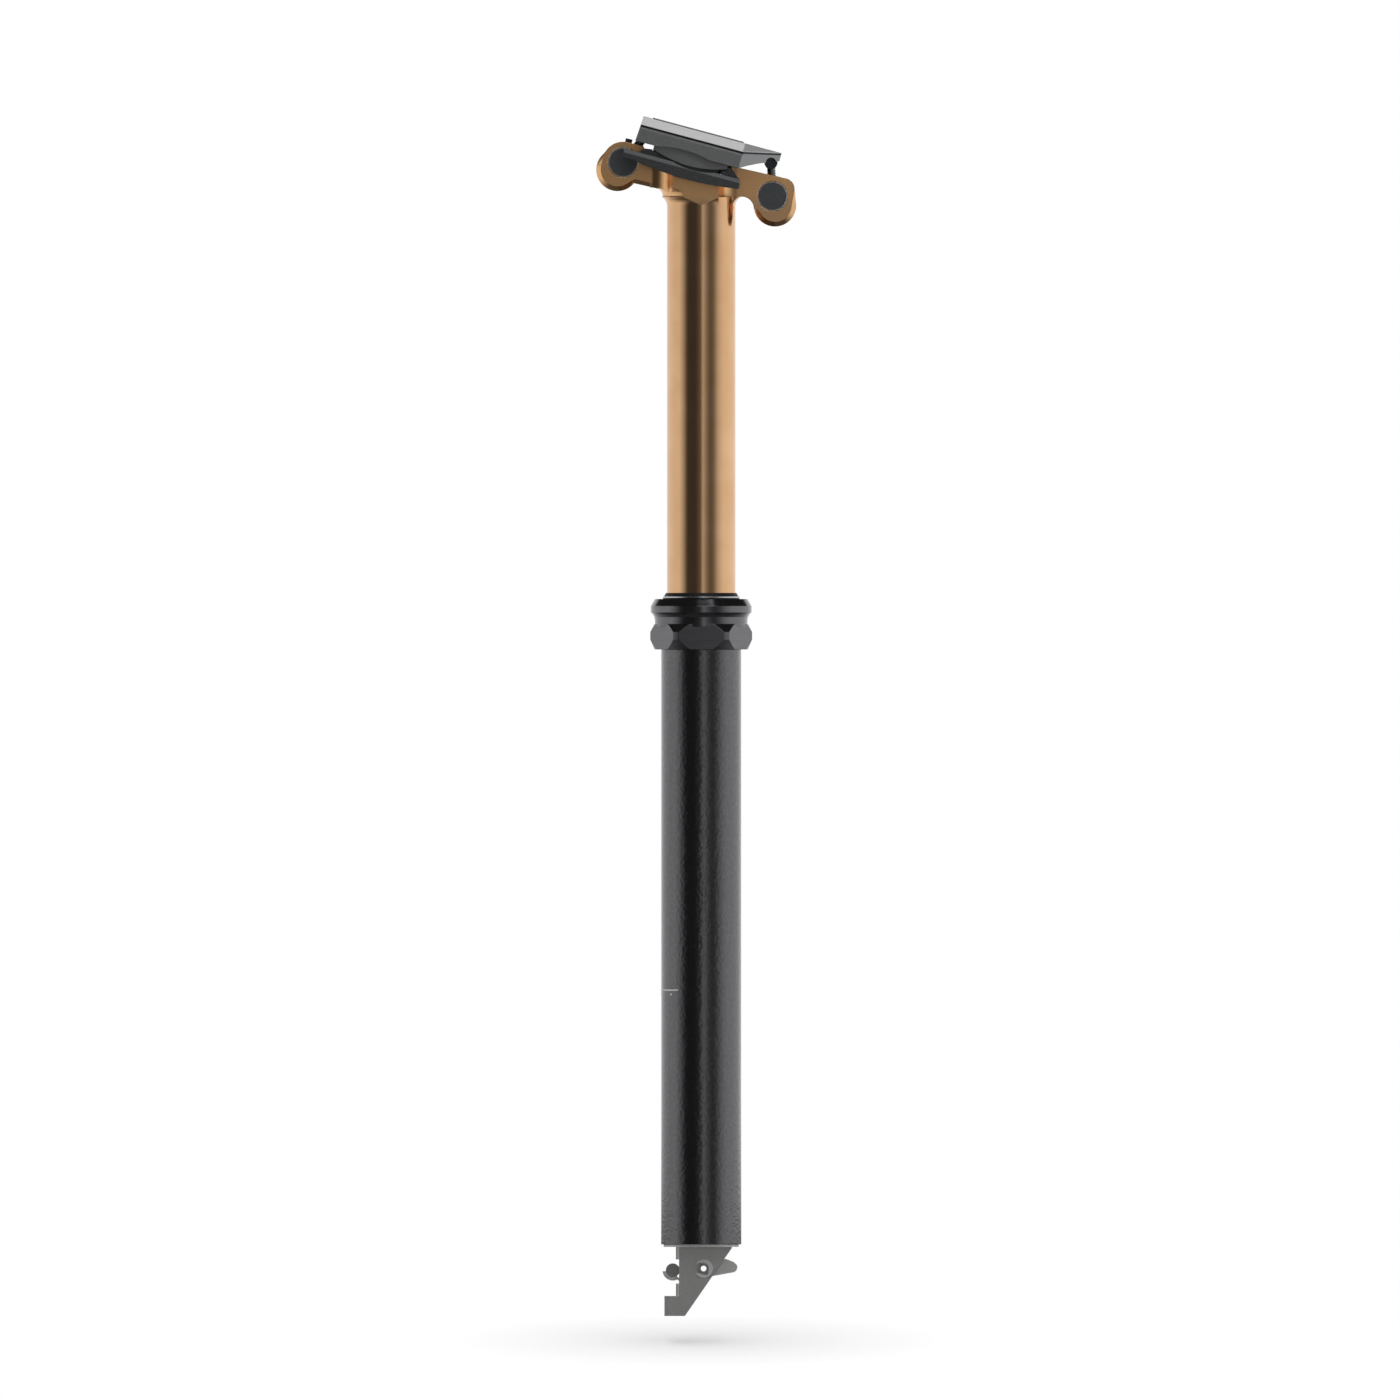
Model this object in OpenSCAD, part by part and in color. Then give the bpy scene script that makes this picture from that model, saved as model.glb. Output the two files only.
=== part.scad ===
// Dropper seatpost. Units mm. X forward, Y left, Z up along the post, origin at the collar's underside.

/* [Post] */
// Outside diameter of the lower post, the seat-tube size
lower_od = 31.6; // [30.9:0.1:31.6]
// Inside diameter of the lower post
lower_id = 28.4; // [28.2:0.1:28.6]
// Length of the lower post below the collar
lower_length = 234.4; // [220:0.2:250]
// Outside diameter of the upper post
upper_od = 27; // [26.6:0.1:27.2]
// Diameter of the damper bore in the upper post
upper_bore = 22.4; // [21.6:0.1:22.8]
// Height of the head's lip above the collar's underside
lip_height = 178.3; // [170:0.1:186]
// How far the upper post reaches below the collar when it is up
overlap = 62; // [58:0.5:66]
// Travel of the post
travel = 150; // [140:1:152]
// Radial gap of a running fit
run_gap = 0.03; // [0.02:0.01:0.06]
// Gap between pieces that pass each other freely
free_gap = 0.3; // [0.2:0.05:0.4]

/* [Collar] */
// Largest diameter of the wrench band
band_od = 40.2; // [39:0.1:41.5]
// Distance across the wrench flats
wrench_flats = 36; // [35:0.1:37]
// Diameter of the neck
neck_od = 36.6; // [36:0.1:37.4]
// Diameter of the flange
flange_od = 39.8; // [38.8:0.1:41]
// Height of the collar
collar_height = 19.9; // [19:0.1:21]
// Outside diameter of the wiper
wiper_od = 30.4; // [30:0.1:31]

/* [Head] */
// Tilt of the line through the barrel nuts, front down
head_tilt = 12.8; // [10:0.2:15]
// Distance between the barrel nuts
barrel_spacing = 60.4; // [58:0.2:62]
// How far the head's middle sits behind the post's axis
head_setback = 1.35; // [0.5:0.05:2]
// Height of the barrel line's middle above the lip
head_rise = 7; // [6.4:0.1:7.6]
// Thickness of the arms
arm_thickness = 9.4; // [9:0.1:10]
// Top of the arms above the barrel line
arm_top = 8; // [7.7:0.1:8.3]
// Diameter of the barrel nuts
barrel_od = 12; // [11:0.1:12.4]
// Radius of the ear round the barrel nut
ear_radius = 8.1; // [7.8:0.1:8.5]
// Radius of the lobe that covers the bolt's head
lobe_radius = 8.4; // [8:0.1:8.8]
// How far the lobe sits beyond the barrel nut
lobe_drop = 3.7; // [3.2:0.1:4.2]
// Bevel of the lobe and of the arm's lower edges
lobe_bevel = 1.85; // [1.2:0.05:2.2]
// Radius of the upright hollow between arm and side flat
side_hollow = 8.9; // [8.4:0.1:9]

/* [Clamp] */
// Tilt of the saddle clamp, front down
clamp_tilt = 15; // [12:0.2:17]
// Diameter of the saddle rails
rail_od = 7; // [6.8:0.1:7.2]
// Distance between the saddle rails
rail_spacing = 44; // [43:0.2:44.4]
// Width of the clamp
clamp_width = 51; // [50.6:0.1:52]
// Gap between the two jaws
jaw_gap = 4.1; // [3.6:0.1:4.6]
// Height of the top clamp above the rails' middle
clamp_height = 12.2; // [11.8:0.1:13]
// Radius of the cradle's round seat
seat_radius = 22; // [21.6:0.1:22.6]
// Diameter of the clamp bolts
bolt_od = 3.6; // [3.2:0.1:3.8]
// Diameter of the small round nuts on the bolts
nut_od = 5.2; // [4.8:0.1:5.4]

/* [Actuator] */
// Width of the bracket over both cheeks
bracket_width = 11; // [10.4:0.1:11.4]
// Thickness of one cheek
cheek_thickness = 2; // [1.8:0.1:2.2]
// Depth of the bracket below the bottom cap
bracket_depth = 27.2; // [26:0.1:28]
// Diameter of the pivot pin
pin_od = 4.2; // [3.8:0.1:4.6]
// Diameter of the cable barrel
anchor_od = 5.5; // [5:0.1:5.8]
// Diameter of the cable housing's end
housing_od = 5; // [4.6:0.1:5.2]

/* [Damper] */
// Diameter of the damper shaft
shaft_od = 10; // [9:0.1:11]
// Diameter of the push rod
rod_od = 3.8; // [3.4:0.1:4]
// Length of the main piston
piston_length = 14; // [12:0.5:16]
// Height of the floating piston's lower face above the collar's underside
float_height = 127; // [125:0.5:130]
// Length of the floating piston
float_length = 10; // [8:0.5:11]

/* [Hidden] */
$fn = 72;
eps = 0.02;
lower_r = lower_od / 2;
lower_in = lower_id / 2;
upper_r = upper_od / 2;
bore_r = upper_bore / 2;
upper_bottom = -overlap;
lip_r = upper_r + 2.1;
flare_low = lip_height - 3.7;
flat_y = upper_r + 0.05;
bore_top = lip_height - 10.3;
collar_seat = 9;
spigot_r = lower_r - 0.6;
guide_length = 20;
key_low = upper_bottom + guide_length + 1;
key_length = 12;
key_width = 3;
key_out = lower_in + 0.5;
key_in = upper_r - 0.6;
bump_low = key_low + key_length + 0.5;
bump_length = 4.5;
bush_low = bump_low + bump_length + free_gap;
cap_face = -lower_length;
cap_edge = 1;
base = cap_face - cap_edge;
cap_top = cap_face + 12.4;
shaft_r = shaft_od / 2;
rod_r = rod_od / 2;
rod_hole = rod_r + free_gap;
shaft_low = cap_face + 5.4;
seal_length = 16;
piston_low = upper_bottom + seal_length + 4;
shaft_top = piston_low + piston_length + 4;
slip = 0.05;
head_x = -head_setback;
head_z = lip_height + head_rise;
half_span = barrel_spacing / 2;
front_barrel_x = head_x + half_span * cos(head_tilt);
front_barrel_z = head_z - half_span * sin(head_tilt);
rear_barrel_x = head_x - half_span * cos(head_tilt);
rear_barrel_z = head_z + half_span * sin(head_tilt);
barrel_r = barrel_od / 2;
half_arm = arm_thickness / 2;
arm_bevel = lobe_bevel - 0.25;
arm_low = ear_radius - 0.96;
clamp_x = head_x - 3.45;
clamp_z = head_z + 7.4;
grip_s = -1.6;
seat_n = seat_radius - 7.4;
nut_front_s = 31.4;
nut_front_n = 7.5;
nut_rear_s = -18.6;
nut_rear_n = 5.6;
nut_half = 7;
nut_r = nut_od / 2;
bolt_r = bolt_od / 2;
front_nut_x = clamp_x + nut_front_s * cos(clamp_tilt) + nut_front_n * sin(clamp_tilt);
front_nut_z = clamp_z - nut_front_s * sin(clamp_tilt) + nut_front_n * cos(clamp_tilt);
rear_nut_x = clamp_x + nut_rear_s * cos(clamp_tilt) + nut_rear_n * sin(clamp_tilt);
rear_nut_z = clamp_z - nut_rear_s * sin(clamp_tilt) + nut_rear_n * cos(clamp_tilt);
front_lean = atan2(front_nut_x - front_barrel_x, front_nut_z - front_barrel_z);
rear_lean = atan2(rear_nut_x - rear_barrel_x, rear_nut_z - rear_barrel_z);
front_reach = norm([front_nut_x - front_barrel_x, front_nut_z - front_barrel_z]);
rear_reach = norm([rear_nut_x - rear_barrel_x, rear_nut_z - rear_barrel_z]);
head_r = bolt_r + 0.6;
slot_half = head_r + free_gap;
slot_reach = 3.4;
front_lobe_turn = -15;
rear_lobe_turn = 36;
head_low = -barrel_r - 3.2;
rail_r = rail_od / 2 + 0.05;
rail_y = rail_spacing / 2;
half_clamp = clamp_width / 2;
half_jaw = jaw_gap / 2;
spine_drop = 2.2;
land_height = 0.45;
wing_slope = 1.5;
wing_curve = 130;
wing_depth = 7.5;
spine_width = rail_y - rail_r - flat_y - 1;
stop_width = rail_y - rail_r - flat_y - 1.2;
stop_height = 1.4;
nose_s = 34.5;
nose_half = 13;
nose_from = 19.6;
pivot_x = 0.95;
pivot_z = base - 8.5;
pin_r = pin_od / 2;
half_bracket = bracket_width / 2;
cheek_in = half_bracket - cheek_thickness;
foot_z = base - bracket_depth;
foot_top = foot_z + 7.9;
edge_x = -8.75;
fold_run = 4.9;
fold_bend = 0.7;
plate_low = base - 1.2;
anchor_x = -11.2;
anchor_z = pivot_z - 0.7;
anchor_r = anchor_od / 2;
anchor_half = cheek_in - 0.2;
lever_half = cheek_in - 0.5;
cam_x = pivot_x + 2.2;
cam_r = 5;
rod_low = pivot_z + sqrt(pow(cam_r, 2) - pow(cam_x - rod_r, 2)) + slip;

module tube(low, high, outer, inner) {
    difference() {
        translate([0, 0, low]) cylinder(h = high - low, r = outer);
        translate([0, 0, low - 1]) cylinder(h = high - low + 2, r = inner);
    }
}

module rod_y(x, z, r, length) {
    translate([x, 0, z]) rotate([90, 0, 0]) cylinder(h = length, r = r, center = true);
}

module plate_y(length) {
    rotate([90, 0, 0]) linear_extrude(height = length, center = true) children();
}

module at_head() {
    translate([head_x, 0, head_z]) rotate([0, head_tilt, 0]) children();
}

module at_clamp() {
    translate([clamp_x, 0, clamp_z]) rotate([0, clamp_tilt, 0]) children();
}

module at_front_bolt() {
    translate([front_barrel_x, 0, front_barrel_z]) rotate([0, front_lean, 0]) children();
}

module at_rear_bolt() {
    translate([rear_barrel_x, 0, rear_barrel_z]) rotate([0, rear_lean, 0]) children();
}

// Lower post: a plain tube with three key grooves inside and a threaded spigot for the collar.
module lower_post() {
    color("#1c1c1d") difference() {
        union() {
            tube(cap_face, 0, lower_r, lower_in);
            tube(-1, collar_seat, spigot_r, lower_in);
        }
        for (a = [0, 120, 240]) rotate([0, 0, a])
            translate([lower_in - 0.5, -key_width / 2 - run_gap, cap_top + 2])
                cube([key_out + run_gap - lower_in + 0.5, key_width + 2 * run_gap, collar_seat - cap_top]);
    }
}

// Collar: flange, neck and a coned band with six wrench flats.
module collar_band() {
    intersection() {
        rotate_extrude() polygon([[spigot_r - 0.1, 0], [neck_od / 2 + 0.2, 0], [band_od / 2, 3.9],
            [band_od / 2, 6.9], [neck_od / 2 + 0.3, 10], [spigot_r - 0.1, 10]]);
        translate([0, 0, -1]) cylinder(h = 12, r = wrench_flats / 2 / cos(30), $fn = 6);
    }
}

module collar() {
    color("#121213") {
        difference() {
            union() {
                collar_band();
                rotate_extrude() polygon([[upper_r + free_gap, collar_seat], [neck_od / 2, collar_seat],
                    [neck_od / 2, 11.6], [neck_od / 2 + 0.25, 12.8], [neck_od / 2 + 0.8, 13.8],
                    [flange_od / 2, 14.6], [flange_od / 2, 17.1], [flange_od / 2 - 1.6, collar_height],
                    [upper_r + free_gap, collar_height]]);
            }
            translate([0, 0, -1]) cylinder(h = 1 + collar_seat, r = spigot_r);
            translate([0, 0, 14]) cylinder(h = collar_height, r = wiper_od / 2 - 0.3);
        }
    }
}

module wiper_seal() {
    color("#0d0d0d") rotate_extrude() polygon([[upper_r + slip, 14], [wiper_od / 2 - 0.3, 14],
        [wiper_od / 2 - 0.3, collar_height], [wiper_od / 2 - 0.1, collar_height],
        [wiper_od / 2 - 0.1, collar_height + 0.4], [wiper_od / 2 - 1, collar_height + 0.4],
        [wiper_od / 2 - 1, collar_height + 1], [wiper_od / 2 - 0.5, collar_height + 1],
        [upper_r + 0.4, collar_height + 2.4], [upper_r + slip, collar_height + 2.4]]);
}

module wiper_ring() {
    color("#b9b9b6") tube(collar_height + 0.4, collar_height + 1, wiper_od / 2, wiper_od / 2 - 1);
}

module upper_bushing() {
    color("#6d6a5f") tube(bush_low, collar_seat - 3, lower_in, upper_r + run_gap);
}

// Bottom cap: a plug in the lower post with a socket for the bracket and a bore for the shaft.
module bottom_cap() {
    color("#b4b5b6") difference() {
        union() {
            translate([0, 0, base]) cylinder(h = cap_edge, r = lower_r - 1);
            translate([0, 0, cap_face]) cylinder(h = cap_top - cap_face, r = lower_in);
        }
        translate([0, 0, base - 1]) cylinder(h = 5 + 1, r = 6);
        translate([0, 0, base]) cylinder(h = 30, r = rod_hole);
        translate([0, 0, shaft_low]) cylinder(h = 30, r = shaft_r);
    }
}

module damper_shaft() {
    color("#c9cacc") tube(shaft_low, shaft_top, shaft_r, rod_hole);
}

module main_piston() {
    color("#8e9092") difference() {
        tube(piston_low, piston_low + piston_length, bore_r - slip, shaft_r);
        tube(piston_low + 6, piston_low + 8, bore_r + 1, bore_r - 1.4);
        for (a = [30:60:330]) rotate([0, 0, a]) translate([(shaft_r + bore_r - 1.4) / 2, 0, piston_low - 1])
            cylinder(h = piston_length + 2, r = 1);
    }
}

module piston_ring() {
    color("#2c4a3a") tube(piston_low + 6, piston_low + 8, bore_r - run_gap, bore_r - 1.4);
}

// Bracket: a fork of two cheeks under a plate, with a spigot in the cap and a foot for the cable housing.
module bracket_side() {
    polygon([[edge_x, base], [12.1, base], [12.1, base - 0.4], [-6.4, foot_z], [-14.5, foot_z],
        [-14.5, foot_top], [edge_x, foot_top]]);
}

module bracket_fold(run) {
    linear_extrude(height = run) polygon([[edge_x + 0.3, cheek_in + 0.05],
        [edge_x + 0.3, half_bracket - 0.05], [edge_x - 0.05, half_bracket - 0.05],
        [edge_x - fold_bend, half_bracket - fold_bend],
        [edge_x - 1.2, half_bracket - fold_bend - 0.05], [edge_x - 1.2, cheek_in + 0.05]]);
}

module bracket() {
    color("#8a8886") difference() {
        union() {
            translate([0, 0, base]) cylinder(h = 5, r = 6);
            for (m = [0, 1]) mirror([0, m, 0]) translate([0, cheek_in + cheek_thickness / 2, 0])
                plate_y(cheek_thickness) bracket_side();
            intersection() {
                plate_y(2 * cheek_in + 1) bracket_side();
                union() {
                    translate([-20, -20, plate_low]) cube([40, 40, base - plate_low]);
                    translate([-20, -20, foot_z]) cube([40, 40, foot_top - foot_z]);
                }
            }
            for (m = [0, 1]) mirror([0, m, 0]) {
                translate([0, 0, base - fold_run]) bracket_fold(fold_run);
                translate([0, 0, foot_top - 1]) bracket_fold(fold_run + 1);
            }
        }
        translate([0, 0, plate_low - 1]) cylinder(h = 12, r = rod_hole);
        rod_y(pivot_x, pivot_z, pin_r, 40);
        translate([anchor_x, 0, foot_z - 1]) cylinder(h = 1 + 5.4, r = housing_od / 2 + 0.05);
        translate([anchor_x, 0, foot_z]) cylinder(h = 20, r = 1.1);
    }
}

module pivot_pin() {
    color("#7e7f7b") difference() {
        rod_y(pivot_x, pivot_z, pin_r, bracket_width + 2.4);
        rod_y(pivot_x, pivot_z, 1.1, 40);
        for (m = [-1, 1]) translate([0, m * (half_bracket + 0.4), 0]) difference() {
            rod_y(pivot_x, pivot_z, pin_r + 1, 0.6);
            rod_y(pivot_x, pivot_z, pin_r - 0.4, 1);
        }
    }
}

module clip() {
    color("#c4c5bd") difference() {
        rod_y(pivot_x, pivot_z, 3.6, 0.6);
        rod_y(pivot_x, pivot_z, pin_r - 0.4, 2);
        translate([pivot_x, 0, pivot_z]) plate_y(2)
            polygon([[-1, 0], [-1.5, 1.5], [-5, 2.6], [-5, -2.6], [-1.5, -1.5]]);
        for (a = [95, 180, 265]) translate([pivot_x, 0, pivot_z]) rotate([0, a - 35, 0])
            translate([pin_r + 0.1, 0, 0]) rotate([90, 0, 0]) cylinder(h = 2, r = 0.7, center = true);
    }
}

module clip_near() {
    translate([0, -half_bracket - 0.4, 0]) clip();
}

module clip_far() {
    translate([0, half_bracket + 0.4, 0]) clip();
}

// Upper post: tube, flared lip, side flats, two arms and two ears with barrel bores, all one forging.
module flare_shape() {
    rotate_extrude() polygon(concat([[0, flare_low - 1], [upper_r - 0.2, flare_low - 1]],
        [for (i = [1:6]) let (z = 3.7 * i / 6) [upper_r + 4.31 - sqrt(4.31 * 4.31 - z * z), flare_low + z]],
        [[lip_r - 0.4, lip_height + 0.3]],
        [for (i = [1:6]) let (a = 90 * i / 6)
            [lip_r - 0.4 + 3.4 * (1 - cos(a)), lip_height + 0.3 + 3.4 * sin(a)]],
        [[45, lip_height + 3.75], [45, lip_height + 40], [0, lip_height + 40]]));
}

module plan_shape() {
    difference() {
        translate([head_x - 18.85, -flat_y]) square([35.9, 2 * flat_y]);
        for (x = [head_x - 18.85, head_x + 17.05], y = [-flat_y, flat_y])
            translate([x, y]) circle(r = side_hollow);
    }
}

module lobe(x, z, turn, inset = 0, sides = 72) {
    outer = lobe_radius - inset;
    flat = half_arm - lobe_bevel;
    translate([x - lobe_drop * sin(turn), 0, z - lobe_drop * cos(turn)]) rotate([90, 0, 0]) {
        cylinder(h = 2 * flat, r = outer, center = true, $fn = sides);
        for (m = [0, 1]) mirror([0, 0, m]) translate([0, 0, flat])
            cylinder(h = lobe_bevel - inset, r1 = outer, r2 = outer - lobe_bevel, $fn = sides);
    }
}

module ear(x, z, turn) {
    inset = 0.03;
    rod_y(x, z, ear_radius, arm_thickness);
    lobe(x, z, turn);
    hull() {
        translate([x, 0, z]) rotate([90, 0, 0])
            cylinder(h = arm_thickness - 2 * inset, r = ear_radius - inset, center = true, $fn = 32);
        lobe(x, z, turn, inset, 32);
        children();
    }
}

module rear_arm() {
    at_head() rotate([0, 90, 0]) translate([0, 0, -half_span]) linear_extrude(height = half_span - 9)
        polygon([[-arm_top, -half_arm], [arm_low - arm_bevel, -half_arm], [arm_low, -half_arm + arm_bevel],
            [arm_low, half_arm - arm_bevel], [arm_low - arm_bevel, half_arm], [-arm_top, half_arm]]);
}

module front_arm() {
    difference() {
        at_head() translate([8, -half_arm, -6.5]) cube([half_span - 8, arm_thickness, 6.5 + arm_top]);
        rod_y(head_x + 17.35, lip_height - 4.6, 4.7, 60);
    }
}

module ears() {
    ear(rear_barrel_x, rear_barrel_z, rear_lobe_turn);
    ear(front_barrel_x, front_barrel_z, front_lobe_turn)
        translate([front_barrel_x + 4.5, 0, front_barrel_z + 2.9]) rotate([90, 0, 0])
            cylinder(h = arm_thickness - 0.06, r = 4.2, center = true, $fn = 48);
}

module upper_post() {
    color("#b98a4e") difference() {
        union() {
            translate([0, 0, upper_bottom]) cylinder(h = lip_height - upper_bottom, r = upper_r);
            intersection() {
                flare_shape();
                translate([0, 0, flare_low - 2]) linear_extrude(height = 40) plan_shape();
                at_head() translate([-50, -50, arm_top - 40.2]) cube([100, 100, 40]);
            }
            rear_arm();
            front_arm();
            ears();
        }
        at_clamp() {
            translate([-16.2, -40, -3.9]) cube([33.1, 80, 40]);
            rod_y(grip_s, seat_n, seat_radius + slip, 80);
        }
        translate([0, 0, upper_bottom - 1]) cylinder(h = bore_top - upper_bottom + 1, r = bore_r);
        translate([0, 0, bore_top - 1]) cylinder(h = 30, r = 3);
        translate([0, 0, bore_top + 9]) cylinder(h = 20, r = 5);
        rod_y(front_barrel_x, front_barrel_z, barrel_r + run_gap, 40);
        rod_y(rear_barrel_x, rear_barrel_z, barrel_r + run_gap, 40);
        at_front_bolt() translate([-slot_reach, -slot_half, -16]) cube([2 * slot_reach, 2 * slot_half, 32]);
        at_rear_bolt() translate([-slot_reach, -slot_half, -16]) cube([2 * slot_reach, 2 * slot_half, 32]);
        for (a = [0, 120, 240]) rotate([0, 0, a]) translate([key_in, -key_width / 2, key_low])
            cube([4, key_width, key_length]);
    }
}

module guide_bushing() {
    color("#6d6a5f") tube(upper_bottom, upper_bottom + guide_length, lower_in - run_gap, upper_r);
}

module key(a) {
    color("#b08d3c") rotate([0, 0, a]) translate([key_in, -key_width / 2, key_low])
        cube([key_out - key_in, key_width, key_length]);
}

module key_front() {
    key(0);
}

module key_left() {
    key(120);
}

module key_right() {
    key(240);
}

module bumper() {
    color("#151515") tube(bump_low, bump_low + bump_length, lower_in - free_gap, upper_r);
}

module seal_head() {
    color("#a9abae") difference() {
        tube(upper_bottom, upper_bottom + seal_length, bore_r, shaft_r + run_gap);
        tube(upper_bottom + 7, upper_bottom + 10, shaft_r + 2, shaft_r - 1);
    }
}

module shaft_seal() {
    color("#101010") tube(upper_bottom + 7, upper_bottom + 10, shaft_r + 2, shaft_r + run_gap);
}

module air_valve() {
    color("#c0a25a") difference() {
        union() {
            translate([0, 0, bore_top - 4]) cylinder(h = 13, r = 3);
            translate([0, 0, bore_top + 9]) cylinder(h = 1, r = 4);
        }
        translate([0, 0, bore_top - 5]) cylinder(h = 30, r = 1.2);
    }
}

module valve_cap() {
    color("#20262a") difference() {
        translate([0, 0, bore_top + 10]) cylinder(h = 2.6, r = 5);
        translate([0, 0, bore_top + 11.2]) cylinder(h = 4, r = 2.3, $fn = 6);
    }
}

module slot_boot() {
    color("#23262a") difference() {
        at_head() translate([-half_span - 1, -half_arm + 0.5, arm_top - 0.1])
            cube([2.7, arm_thickness - 1, 1.6]);
        at_rear_bolt() translate([-slot_reach, -slot_half, 0]) cube([2 * slot_reach, 2 * slot_half, 20]);
        rod_y(rear_barrel_x, rear_barrel_z, ear_radius, 40);
        rear_arm();
    }
}

module floating_piston() {
    color("#8e9092") difference() {
        translate([0, 0, float_height]) cylinder(h = float_length, r = bore_r - slip);
        tube(float_height + 4, float_height + 6, bore_r + 1, bore_r - 1.6);
        translate([0, 0, float_height + 3]) cylinder(h = 20, r = bore_r - 4);
    }
}

module floating_ring() {
    color("#101010") tube(float_height + 4, float_height + 6, bore_r - run_gap, bore_r - 1.6);
}

// Top clamp: a plate with bevelled sides, jaws over the rails, a spine between them and a nose in front.
module clamp_bevel() {
    translate([-30, 0, 0]) rotate([90, 0, 90]) linear_extrude(height = 30 + nose_from + 0.2)
        polygon([[half_clamp - 1.5, clamp_height], [half_clamp, 8.7], [half_clamp - 1.2, 8.7],
            [half_clamp - 1.2, 7.5], [half_clamp + 2, 7.5], [half_clamp + 2, clamp_height + 1],
            [half_clamp - 1.5, clamp_height + 1]]);
}

module clamp_blank() {
    intersection() {
        plate_y(clamp_width) polygon([[-22.5, half_jaw], [nose_from, half_jaw], [22.6, 3.8], [27, 6],
            [nose_s, 8.9], [nose_s, clamp_height], [-21.7, clamp_height]]);
        translate([0, 0, -5]) linear_extrude(height = 40) polygon([[-30, -half_clamp],
            [nose_from, -half_clamp], [nose_s + 0.5, -nose_half], [nose_s + 0.5, nose_half],
            [nose_from, half_clamp], [-30, half_clamp]]);
    }
}

module clamp_plate() {
    difference() {
        union() {
            clamp_blank();
            translate([-18, 1.9 - half_clamp, clamp_height - 0.5])
                cube([nose_from - 0.6 + 18, clamp_width - 3.8, land_height + 0.5]);
        }
        for (m = [0, 1]) mirror([0, m, 0]) {
            translate([0, rail_y, 0]) rotate([0, 90, 0]) cylinder(h = 100, r = rail_r, center = true);
            clamp_bevel();
            polyhedron(points = [[nose_from + 0.1, half_clamp, 8.7],
                [nose_from + 0.1, half_clamp - 1.5, clamp_height + 0.1],
                [nose_from + 0.1, half_clamp + 3, clamp_height + 0.1],
                [nose_s + 0.4, nose_half + 0.1, clamp_height + 0.1]],
                faces = [[0, 1, 2], [0, 3, 1], [0, 2, 3], [1, 3, 2]]);
            translate([-3, rail_y + 5, 3.4 - 40]) rotate([90, 0, 0]) cylinder(h = 20, r = 40, center = true);
        }
        translate([-30, -11, -5]) cube([70, 22, 9.6]);
        rod_y(nut_front_s, nut_front_n, nut_r + free_gap, 2 * (nut_half + free_gap));
        rod_y(nut_front_s, nut_front_n, 2, 60);
        rod_y(nut_rear_s, nut_rear_n, nut_r + free_gap, 2 * (nut_half + free_gap));
        translate([nut_rear_s - nut_r - free_gap, -nut_half - free_gap, -5])
            cube([nut_od + 2 * free_gap, 2 * (nut_half + free_gap), 5 + nut_rear_n]);
        translate([-13, -11, clamp_height - 0.8]) cube([26, 22, 2]);
    }
}

module clamp_spine() {
    intersection() {
        translate([-14.8, flat_y + 0.6, -spine_drop]) cube([30, spine_width, spine_drop + 3.5]);
        rod_y(0.5, 43.3 - spine_drop, 43.3, 60);
    }
}

module top_clamp() {
    color("#3d4043") at_clamp() {
        clamp_plate();
        for (m = [0, 1]) mirror([0, m, 0]) clamp_spine();
    }
}

// Cradle: two wings with rail grooves and a round middle that rocks in the head's seat.
module cradle_wing() {
    polygon(concat([[-26.1, -half_jaw], [-25.4, -5.1]],
        [for (s = [-20:5:20])
            [s, wing_curve - wing_depth - sqrt(wing_curve * wing_curve - (s - 1) * (s - 1))]],
        [[22, -5.9], [21.4, -half_jaw]]));
}

module wing_bevel() {
    translate([-40, 0, 0]) rotate([90, 0, 90]) linear_extrude(height = 80)
        polygon([[half_clamp, -half_jaw - wing_slope], [half_clamp + 2, -half_jaw - wing_slope],
            [half_clamp + 2, -half_jaw + 1], [half_clamp - (wing_slope + 1) / 5, -half_jaw + 1]]);
}

// Walls at both ends of the rail grooves, inside the rails, which close the jaw from the side
module cradle_stops() {
    for (m = [0, 1]) mirror([0, m, 0]) translate([0, (rail_y - rail_r + flat_y) / 2, 0]) {
        plate_y(stop_width) polygon([[-21.2, -half_jaw - 1], [-17.8, 0.1], [-15, 0.5], [-15, 0.2],
            [-13.2, -0.4], [-13.2, -half_jaw - 1]]);
        plate_y(stop_width) polygon([[13.6, -half_jaw - 1], [13.6, -0.5], [15.4, 0], [15.4, stop_height],
            [17, stop_height], [21, -half_jaw], [20.6, -half_jaw - 1]]);
    }
}
module cradle() {
    color("#26282a") at_clamp() union() {
        cradle_cut();
        cradle_stops();
    }
}
module cradle_cut() {
    difference() {
        union() {
            for (m = [0, 1]) mirror([0, m, 0]) translate([0, (half_clamp + flat_y + 0.4) / 2, 0])
                plate_y(half_clamp - flat_y - 0.4) cradle_wing();
            intersection() {
                rod_y(grip_s, seat_n, seat_radius, 60);
                union() {
                    translate([-14.7, -flat_y - 1, -10]) cube([30, 2 * flat_y + 2, 10 - half_jaw]);
                    translate([-14.7, -flat_y + 0.2, -10]) cube([30, 2 * flat_y - 0.4, 11.5]);
                }
            }
        }
        for (m = [0, 1]) mirror([0, m, 0]) {
            translate([0, rail_y, 0]) rotate([0, 90, 0]) cylinder(h = 100, r = rail_r, center = true);
            translate([2.5, rail_y + 3, 26.7]) rotate([90, 0, 0]) cylinder(h = 24, r = 30, center = true);
            wing_bevel();
        }
    }
}

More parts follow.
